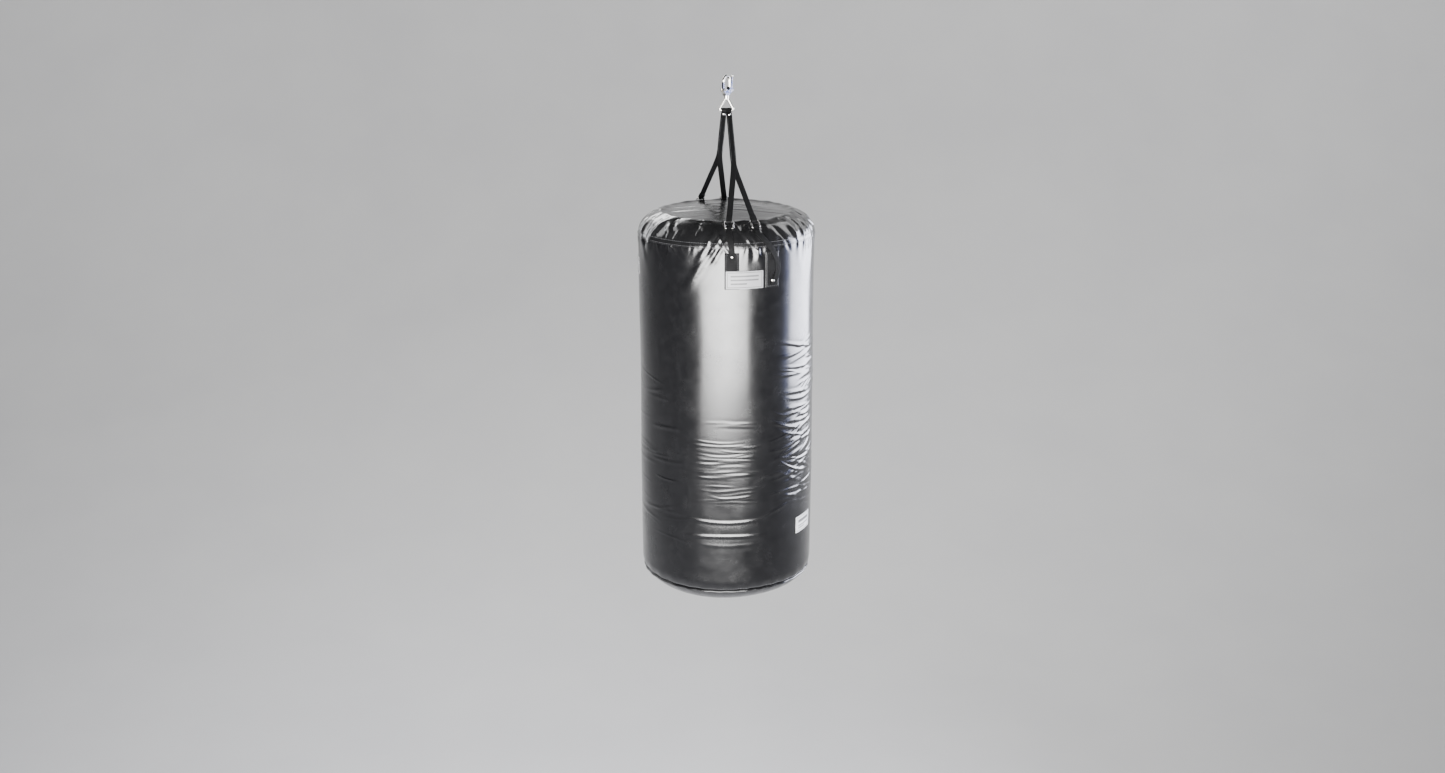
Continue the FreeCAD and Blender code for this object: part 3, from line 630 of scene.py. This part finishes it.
side = cover_part("side_cover", SEAM_ARC - 0.002, FOOT_SEAM_ARC, 520, 720)
paint(side, SIDE_VINYL)
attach(side, "bag")
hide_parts("side_shell")

cap = cover_part("cap_cover", 0.0004, SEAM_ARC + 0.0055, 210, 720, 0.0012)
paint(give_thickness(cap, 0.0011), CAP_VINYL)
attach(cap, "bag")
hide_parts("top_cap", "cap_binding")

foot = cover_part("foot_cover", FOOT_SEAM_ARC, LENGTH - 0.0004, 110, 360)
paint(foot, FOOT_VINYL)
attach(foot, "bag")
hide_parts("bottom_panel")

# ---- what fills the cover ---------------------------------------------------------------------

LINER_OUT, LINER_IN = RADIUS - 0.0055, RADIUS - 0.0265
LINER_TOP, LINER_LOW = SEAM_Z - 0.0045, FOOT_SEAM_Z + 0.0135


def foam_sheet():
    """A thick foam sheet rolled into a sleeve, its two edges meeting at the back, a little out of true."""
    corner, wall_steps, end_steps, turns = 0.004, 25, 3, 241
    rounds = [(LINER_OUT, LINER_TOP, 90, 0), (LINER_OUT, LINER_LOW, 0, -90), (LINER_IN, LINER_LOW, -90, -180),
              (LINER_IN, LINER_TOP, 180, 90)]
    outline = []
    for radius, z, first, last in rounds:
        inward = -corner if radius == LINER_OUT else corner
        level = -corner if z == LINER_TOP else corner
        outline += arc_points((radius + inward, z + level), corner, first, last, 5)
    divided = []
    for a, b in zip(outline, outline[1:] + outline[:1]):
        steps = wall_steps if abs(a[1] - b[1]) > 0.1 else end_steps
        for t in np.linspace(0, 1, steps, endpoint=False):
            divided.append((a[0] + (b[0] - a[0]) * t, a[1] + (b[1] - a[1]) * t))
    outline = np.array(divided)
    turn = np.radians(np.linspace(180.4, 539.6, turns))
    rho, z = outline[None, :, 0], outline[None, :, 1]
    wave = np.sin(3 * turn[:, None] + 11 * z) + 0.6 * np.sin(7 * turn[:, None] - 23 * z)
    rho = rho - 0.0006 * (1 + wave / 1.6) * (rho > RADIUS - 0.015)
    points = np.stack(np.broadcast_arrays(rho * np.sin(turn[:, None]), -rho * np.cos(turn[:, None]), z), -1)
    loop = len(outline)
    ends = [list(range(loop - 1, -1, -1)), [(turns - 1) * loop + j for j in range(loop)]]
    return mesh_object("foam_sleeve", points, grid_faces(turns, loop, True)[:, ::-1].tolist() + ends)


def textile_fill():
    """Shredded textile packed inside the sleeve and above and below it: one lumpy mass."""
    rng = np.random.default_rng(31)
    core = LINER_IN - 0.0035
    crown = [(float(np.interp(a, ARC, RHO)), float(np.interp(a, ARC, HEIGHT)) - 0.0065)
             for a in np.linspace(0.0004, CREASE_ARC, 26)]
    wall = [(RADIUS - 0.0110, LINER_TOP + 0.012), (RADIUS - 0.0150, LINER_TOP + 0.006),
            (core, LINER_TOP + 0.003)]
    wall += [(core, z) for z in np.linspace(LINER_TOP - 0.004, LINER_LOW + 0.004, 90)]
    wall += [(core, LINER_LOW - 0.003), (RADIUS - 0.0150, LINER_LOW - 0.006)]
    belly = [(float(np.interp(a, ARC, RHO)) * 0.955, float(np.interp(a, ARC, HEIGHT)) + 0.0075)
             for a in np.linspace(FOOT_SEAM_ARC + 0.010, LENGTH - 0.0004, 30)]
    rows, columns = 260, 240
    outline = smooth_path(crown + wall + belly, rows)
    turn = np.linspace(0, 2 * math.pi, columns, endpoint=False)[None, :]
    rho, z = outline[:, :1], outline[:, 1:]
    lumps = np.zeros((rows, columns))
    for _ in range(60):
        way, level = rng.uniform(0, 2 * math.pi), rng.uniform(FOOT, TOP)
        size, depth = rng.uniform(14, 40), rng.uniform()
        lumps += depth * np.exp(-(((z - level) * size) ** 2) - (wrap(turn - way) * RADIUS * size) ** 2)
    rho = rho - 0.0022 * np.clip(lumps, 0, 1.5) * smooth(0.01, 0.06, rho)
    points = np.stack(np.broadcast_arrays(rho * np.sin(turn), -rho * np.cos(turn), z), -1)
    return turned_form("textile_core", points)


for filler, material, node_name, fill in (
    (foam_sheet(), FOAM, "foam_liner", 1.0), (textile_fill(), FIBRE, "fibre_fill", 0.95)
):
    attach(paint(filler, material), "bag")
    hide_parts(node_name)


def ring_of_stitches(name, arc, spacing, length, lift):
    """Thread all the way round at one arc length."""
    radius = float(np.interp(arc, ARC, RHO))
    count = int(2 * math.pi * radius / spacing)
    azimuth = np.linspace(0, 2 * math.pi, count, endpoint=False)
    at = place(azimuth, np.full(count, arc), lift)
    ahead = np.stack([np.cos(azimuth), np.sin(azimuth), np.zeros(count)], -1)
    out = np.stack([np.sin(azimuth), -np.cos(azimuth), np.zeros(count)], -1)
    thread = capsule_row(name, at, ahead, out, length, 0.00042)
    paint(thread, THREAD)
    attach(thread, "bag")
    return thread


ring_of_stitches("cap_thread_upper", SEAM_ARC - 0.0042, 0.0046, 0.0036, 0.0013)
ring_of_stitches("cap_thread_lower", SEAM_ARC + 0.0030, 0.0046, 0.0036, 0.0013)
ring_of_stitches("foot_thread", FOOT_SEAM_ARC - 0.007, 0.0050, 0.0038, 0.0001)

PIPING_TURNS, PIPING_SIDES, PIPING_RADIUS = 480, 12, 0.0024
turn = np.linspace(0, 2 * math.pi, PIPING_TURNS, endpoint=False)
round_bar = np.linspace(0, 2 * math.pi, PIPING_SIDES, endpoint=False)
centre = place(turn, np.full(PIPING_TURNS, FOOT_SEAM_ARC), 0.0016)
out = np.stack([np.sin(turn), -np.cos(turn), np.zeros(PIPING_TURNS)], -1)
bar = centre[:, None] + PIPING_RADIUS * (np.cos(round_bar)[None, :, None] * out[:, None]
                                         + np.sin(round_bar)[None, :, None] * np.array([0, 0, 1.0]))
ring_faces = grid_faces(PIPING_TURNS, PIPING_SIDES, True).tolist()
last_ring = (PIPING_TURNS - 1) * PIPING_SIDES
for j in range(PIPING_SIDES):
    k = (j + 1) % PIPING_SIDES
    ring_faces.append([last_ring + j, j, k, last_ring + k])
piping = paint(mesh_object("foot_piping_cover", bar, ring_faces), FOOT_VINYL)
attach(piping, "bag")
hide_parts("foot_piping")

# ---- patches and labels -----------------------------------------------------------------------


def wall_panel(name, azimuth, width, low, high, thickness, lift, material, columns=60, rows=80, follow=1.0):
    """A thin panel that lies on the cover's folds. Its UVs are metres from its lower left corner."""
    across = np.linspace(-0.5, 0.5, columns)[None, :] * width
    angle = math.radians(azimuth) + across / RADIUS
    z = np.linspace(high, low, rows)[:, None]
    arc = np.interp(-z, -HEIGHT[WALL], ARC[WALL])
    angle, arc = np.broadcast_arrays(angle, arc)
    off = relief(angle, arc) * follow + lift + thickness
    points = place(angle, arc, off, False)
    uvs = np.stack(np.broadcast_arrays(across + width / 2, z - low), -1)
    made = mesh_object(name, points, grid_faces(rows, columns, False), uvs)
    paint(give_thickness(made, thickness, min(0.0004, thickness * 0.35)), material)
    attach(made, "bag")
    return made


def panel_stitches(name, azimuth, width, low, high, lift, inset=0.0028, spacing=0.0038, sides="lrtb"):
    """Thread round a panel, inset from its edges."""
    w, h = width / 2 - inset, (high - low) / 2 - inset
    middle = (low + high) / 2
    runs = {"l": ((-w, -h), (-w, h)), "r": ((w, -h), (w, h)),
            "t": ((-w, h), (w, h)), "b": ((-w, -h), (w, -h))}
    centres, ahead, ups = [], [], []
    for key in sides:
        (x0, z0), (x1, z1) = runs[key]
        count = max(2, int(math.hypot(x1 - x0, z1 - z0) / spacing))
        for t in (np.arange(count) + 0.5) / count:
            x, z = x0 + (x1 - x0) * t, z0 + (z1 - z0) * t
            angle = math.radians(azimuth) + x / RADIUS
            centres.append(place(angle, arc_at(middle + z), lift + 0.0002).ravel())
            side_way = np.array([math.cos(angle), math.sin(angle), 0.0])
            ahead.append(side_way * (x1 - x0) + np.array([0, 0, z1 - z0]))
            ups.append([math.sin(angle), -math.cos(angle), 0.0])
    thread = paint(capsule_row(name, centres, ahead, ups, spacing * 0.75, 0.00036), THREAD)
    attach(thread, "bag")
    return thread


PATCH_LOW, PATCH_HIGH = FOOT + 0.649, FOOT + 0.7185
PATCH_WIDTH, PATCH_THICK = 0.028, 0.0012
# each anchor's azimuth at its ring and at its patch, and its rivet's height above the foot
ANCHOR_AZIMUTHS = {"left": (-9.5, -8.0, 0.712), "right": (9.5, 18.3, 0.663)}
TURNS = {"front": 0.0, "back": 180.0}
for face, turned in TURNS.items():
    for hand, (_, patch_azimuth, _) in ANCHOR_AZIMUTHS.items():
        patch_name = f"{face}_{hand}_patch"
        middle = turned + patch_azimuth
        extent = (middle, PATCH_WIDTH, PATCH_LOW, PATCH_HIGH)
        material = TAB_VINYL if hand == "left" else PATCH_VINYL
        patch = wall_panel(patch_name + "_cover", *extent, PATCH_THICK, 0.0, material, 30, 60, 0.8)
        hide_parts(patch_name)
        panel_stitches(patch_name + "_thread", *extent, PATCH_THICK + 0.0001)

SILVER = (0.27, 0.27, 0.28)
INK = (0.055, 0.055, 0.06)
front_print = label_print("silver_label", SILVER, INK, 0.072, 0.034, [
    (0.009, 0.063, 0.0228, 0.0258), (0.009, 0.063, 0.0155, 0.0185), (0.009, 0.040, 0.0082, 0.0112)])
low_print = label_print("white_label", (0.62, 0.62, 0.62), (0.03, 0.03, 0.035), 0.060, 0.034, [
    (0.008, 0.052, 0.0200, 0.0265), (0.008, 0.052, 0.0125, 0.0150), (0.008, 0.034, 0.0075, 0.0100)])
for label_name, azimuth, width, low, high, lift, material in (
    ("front_label", 0.0, 0.072, FOOT + 0.650, FOOT + 0.684, 0.0013, front_print),
    ("side_label", -102.5, 0.072, FOOT + 0.650, FOOT + 0.684, 0.0, front_print),
    ("low_label", 52.0, 0.060, FOOT + 0.128, FOOT + 0.162, 0.0, low_print),
):
    panel = wall_panel(label_name + "_face", azimuth, width, low, high, 0.0009, lift, material, 90, 46)
    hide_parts(label_name)

# ---- webbing ----------------------------------------------------------------------------------

WEB_WIDTH = 0.0112
WEB_THICK = 0.0021
EYE_WIDTH = 0.0092
STRIP_SIDES = 28
RING_WIRE = 0.0015
BAIL_WIRE = 0.0023
WRAP_GAP = 0.0001


def web_strip(name, points, across, widths, thick, count=120):
    """A flat woven strip with rounded edges along a smooth course.

    points, across and widths are given at the same stations; UVs are metres across and along.
    """
    stations = np.hstack([np.asarray(points), np.asarray(across), np.asarray(widths)[:, None]])
    course = smooth_path(stations, count)
    at, side_way, width = course[:, :3], course[:, 3:6], course[:, 6]
    ahead = np.gradient(at, axis=0)
    ahead /= np.linalg.norm(ahead, axis=1, keepdims=True)
    side_way = side_way - ahead * np.sum(side_way * ahead, axis=1, keepdims=True)
    side_way /= np.linalg.norm(side_way, axis=1, keepdims=True)
    up = np.cross(ahead, side_way)
    ring, us = [], []
    for angle in np.linspace(0, 2 * math.pi, STRIP_SIDES, endpoint=False):
        c, s = math.cos(angle), math.sin(angle)
        x = math.copysign(abs(c) ** 0.35, c) * 0.5
        y = math.copysign(abs(s) ** 0.55, s) * 0.5
        ring.append(at + side_way * (x * width)[:, None] + up * y * thick)
        us.append(x * width)
    points = np.stack(ring, axis=1)
    along = np.concatenate([[0], np.cumsum(np.linalg.norm(np.diff(at, axis=0), axis=1))])
    uvs = np.stack([np.stack(us, axis=1), np.repeat(along[:, None], STRIP_SIDES, axis=1)], -1)
    faces = grid_faces(count, STRIP_SIDES, True)[:, ::-1].tolist()
    faces.append(list(range(STRIP_SIDES - 1, -1, -1)))
    faces.append([(count - 1) * STRIP_SIDES + j for j in range(STRIP_SIDES)])
    made = paint(mesh_object(name, points, faces, uvs), WEBBING)
    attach(made, "bag")
    return made


def eye_course(centre, axis, leave, radius, count=9):
    """Stations that wrap a bar: from one side of the leaving direction round to the other."""
    leave = unit(leave - axis * np.dot(leave, axis))
    other = np.cross(axis, leave)
    angles = np.radians(np.linspace(62, 298, count))
    return [centre + radius * (leave * math.cos(a) + other * math.sin(a)) for a in angles]


def outward(azimuth):
    a = math.radians(azimuth)
    return np.array([math.sin(a), -math.cos(a), 0.0])


def sideways(azimuth):
    a = math.radians(azimuth)
    return np.array([math.cos(a), math.sin(a), 0.0])


RING_SLOPE = math.radians(45)


def ring_bar(azimuth, end):
    """The middle of one of a ring's end bars: -1 carries the leg, 1 the anchor."""
    along = outward(azimuth) * math.cos(RING_SLOPE) - np.array([0, 0, math.sin(RING_SLOPE)])
    return outward(azimuth) * 0.152 + np.array([0, 0, -0.260]) + along * end * 0.0075


def strap(face, sign):
    """One webbing, folded over the bail, sewn to itself down to the split and then parted into two legs."""
    turned = TURNS[face]
    x_axis = np.array([1.0, 0, 0])
    bar_at = np.array([sign * (EYE_WIDTH / 2 + 0.00015), 0, -0.0625])
    split = np.array([0, -sign * 0.072, -0.1605])
    down = unit(split - bar_at)
    for hand, layer in (("left", 1), ("right", -1)):
        ring_azimuth = turned + ANCHOR_AZIMUTHS[hand][0]
        end = ring_bar(ring_azimuth, -1)
        across_end = sideways(ring_azimuth) * sign
        run = unit(end - split)
        lift = unit(np.cross(down, x_axis)) * layer * WEB_THICK * 0.52
        points = [bar_at + down * 0.0058 + lift * 1.15, bar_at + down * 0.012 + lift,
                  bar_at + (split - bar_at) * 0.5 + lift, split - down * 0.012 + lift,
                  split + run * 0.012 + lift, split + (end - split) * 0.55 + lift * 0.6,
                  end - run * 0.0055 + lift * 0.25]
        across = [x_axis] * 4 + [unit(x_axis + 0.25 * across_end), unit(x_axis + across_end * 2), across_end]
        widths = [EYE_WIDTH, 0.0106, WEB_WIDTH, WEB_WIDTH, WEB_WIDTH, WEB_WIDTH, WEB_WIDTH]
        web_strip(f"{face}_{hand}_leg", points, across, widths, WEB_THICK, 160)
        eye = eye_course(end, sideways(ring_azimuth), -run, RING_WIRE + WRAP_GAP + WEB_THICK / 2)
        tail = [eye[0] - run * 0.009 + (eye[0] - end) * 0.05, eye[0] - run * 0.003]
        back = [eye[-1] - run * 0.003, eye[-1] - run * 0.009]
        course = [*tail, *eye, *back]
        web_strip(f"{face}_{hand}_leg_eye", course, [sideways(ring_azimuth)] * len(course),
                                [WEB_WIDTH] * len(course), WEB_THICK, 70)
    eye = eye_course(bar_at, x_axis, down, BAIL_WIRE + WRAP_GAP + WEB_THICK / 2)
    course = [eye[0] + down * 0.0035, *eye, eye[-1] + down * 0.0035]
    web_strip(f"{face}_bail_eye", course, [x_axis] * len(course), [EYE_WIDTH] * len(course),
                            WEB_THICK * 1.1, 70)
    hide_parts(f"{face}_strap")
    face_way = unit(np.cross(down, x_axis))
    centres, ahead, ups = [], [], []
    for edge in (-1, 1):
        for t in np.arange(0.020, np.linalg.norm(split - bar_at) - 0.008, 0.0034):
            for way in (-1, 1):
                centres.append(bar_at + down * t + x_axis * edge * (WEB_WIDTH / 2 - 0.0016)
                               + face_way * way * (WEB_THICK + 0.00025))
                ahead.append(down)
                ups.append(face_way * way)
    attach(paint(capsule_row(f"{face}_strap_thread", centres, ahead, ups, 0.0026, 0.0003), THREAD), "bag")


strap("front", 1)
strap("back", -1)


def anchor(face, hand):
    """The sewn strap from a ring over the shoulder and down onto its patch, ending under a rivet."""
    ring_azimuth, patch_azimuth, rivet_height = ANCHOR_AZIMUTHS[hand]
    turned = TURNS[face]
    start = ring_bar(turned + ring_azimuth, 1)
    lift = 0.0014 + 0.0005 + WEB_THICK / 2
    points, across = [], []
    for step, lean in enumerate((40, 30, 20, 10, 0)):
        azimuth = turned + ring_azimuth + (patch_azimuth - ring_azimuth) * step / 4
        angle = math.radians(lean)
        reach = SHOULDER + lift
        points.append(outward(azimuth) * (RADIUS - SHOULDER + reach * math.cos(angle))
                      + np.array([0, 0, TOP - SHOULDER + reach * math.sin(angle)]))
        across.append(sideways(azimuth))
    low = FOOT + rivet_height - 0.009
    for t in np.linspace(0, 1, 4)[1:]:
        z = TOP - SHOULDER + (low - TOP + SHOULDER) * t
        bulge = 0.0035 * math.sin(math.pi * t) * (1 if hand == "right" else 0.3)
        azimuth = turned + patch_azimuth + (3.0 * math.sin(math.pi * t) if hand == "right" else 0.0)
        points.append(outward(azimuth) * (RADIUS + lift + bulge) + np.array([0, 0, z]))
        across.append(sideways(azimuth))
    away = unit(points[0] - start)
    points.insert(0, start + away * 0.0036)
    across.insert(0, sideways(turned + ring_azimuth))
    strip = web_strip(f"{face}_{hand}_anchor_strip", points, across, [WEB_WIDTH] * len(points), WEB_THICK)
    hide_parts(f"{face}_{hand}_anchor")
    eye = eye_course(start, sideways(turned + ring_azimuth), away, RING_WIRE + WRAP_GAP + WEB_THICK / 2)
    course = [eye[0] + away * 0.0025, *eye, eye[-1] + away * 0.0025]
    web_strip(f"{face}_{hand}_anchor_eye", course, [sideways(turned + ring_azimuth)] * len(course),
              [WEB_WIDTH] * len(course), WEB_THICK, 60)


for face in TURNS:
    for hand in ANCHOR_AZIMUTHS:
        anchor(face, hand)

# ---- stage ------------------------------------------------------------------------------------

STAGE_FLOOR = -2.0


def make_backdrop():
    """A pale floor that curves up into a wall."""
    profile = [(y, 0.0) for y in np.linspace(-8.0, 1.0, 19)]
    for a in np.radians(np.linspace(-90, 0, 40)[1:]):
        profile.append((1.0 + 4.0 * math.cos(a), 4.0 + 4.0 * math.sin(a)))
    profile += [(5.0, z) for z in np.linspace(4.5, 8.0, 6)]
    across = np.linspace(-10.0, 10.0, 31)
    angle = math.radians(VIEW_AZIMUTH)
    right = np.array([math.cos(angle), math.sin(angle), 0])
    away = np.array([-math.sin(angle), math.cos(angle), 0])
    points = [away * y + right * x + np.array([0, 0, STAGE_FLOOR + z]) for y, z in profile for x in across]
    made = mesh_object("backdrop", points, grid_faces(len(profile), len(across), False))
    matt = Finish("pale_paper", (0.62, 0.62, 0.63), 0.9)
    matt.to(matt.mixed(matt.noise(3, 3), (0.61, 0.61, 0.62), (0.64, 0.64, 0.645)), "Base Color")
    return paint(made, matt.material)


def soft_light(name, azimuth, elevation, distance, width, height, power, color, aim, spread=180):
    """A rectangular soft box that faces aim, at an azimuth as the camera sees it."""
    data = bpy.data.lights.new(name, "AREA")
    data.shape = "RECTANGLE"
    data.size, data.size_y, data.energy, data.color = width, height, power, color
    data.spread = math.radians(spread)
    made = bpy.data.objects.new(name, data)
    bpy.context.scene.collection.objects.link(made)
    a, e = math.radians(azimuth + VIEW_AZIMUTH), math.radians(elevation)
    way = Vector((math.sin(a) * math.cos(e), -math.cos(a) * math.cos(e), math.sin(e)))
    made.location = Vector(aim) + way * distance
    made.rotation_euler = (-way).to_track_quat("-Z", "Y").to_euler()
    return made


backdrop = make_backdrop()
lights = [
    soft_light("front_box", -2, -2, 2.3, 2.6, 1.35, 120, (1.0, 0.995, 0.985), (0, 0, -0.53), 100),
    soft_light("right_box", 112, 2, 2.0, 1.7, 1.5, 60, (0.86, 0.88, 1.0), (0, 0, -0.52), 100),
    soft_light("right_blue", 84, 2, 2.2, 0.30, 1.5, 1.0, (0.30, 0.40, 1.0), (0, 0, -0.55), 100),
    soft_light("left_rim", -132, 12, 2.2, 0.5, 1.2, 9, (0.95, 0.97, 1.0), (0, 0, -0.35)),
    soft_light("top_left", -155, 30, 2.6, 1.3, 0.8, 34, (1, 1, 1), (0, 0, -0.3)),
    soft_light("backdrop_left", -90, 62, 4.4, 3.0, 3.0, 95, (1, 1, 1), (-1.6, 2.4, -1.2)),
    soft_light("backdrop_right", 90, 62, 4.4, 3.0, 3.0, 95, (1, 1, 1), (1.6, 2.4, -1.2)),
]

world = bpy.data.worlds.new("studio")
world.use_nodes = True
world.node_tree.nodes["Background"].inputs["Color"].default_value = (0.82, 0.84, 0.88, 1)
world.node_tree.nodes["Background"].inputs["Strength"].default_value = 0.055
bpy.context.scene.world = world

# ---- camera -----------------------------------------------------------------------------------

lens = bpy.data.cameras.new("camera")
lens.lens = 38.84
lens.sensor_width = 36.0
lens.shift_x = -0.0027
lens.shift_y = 0.0080
camera = bpy.data.objects.new("camera", lens)
bpy.context.scene.collection.objects.link(camera)
azimuth, elevation = math.radians(VIEW_AZIMUTH), math.radians(16.5)
back = Vector((math.sin(azimuth) * math.cos(elevation), -math.cos(azimuth) * math.cos(elevation),
               math.sin(elevation)))
camera.location = Vector((0, 0, -0.645)) + back * 3.19
camera.rotation_euler = (-back).to_track_quat("-Z", "Y").to_euler()
bpy.context.scene.camera = camera
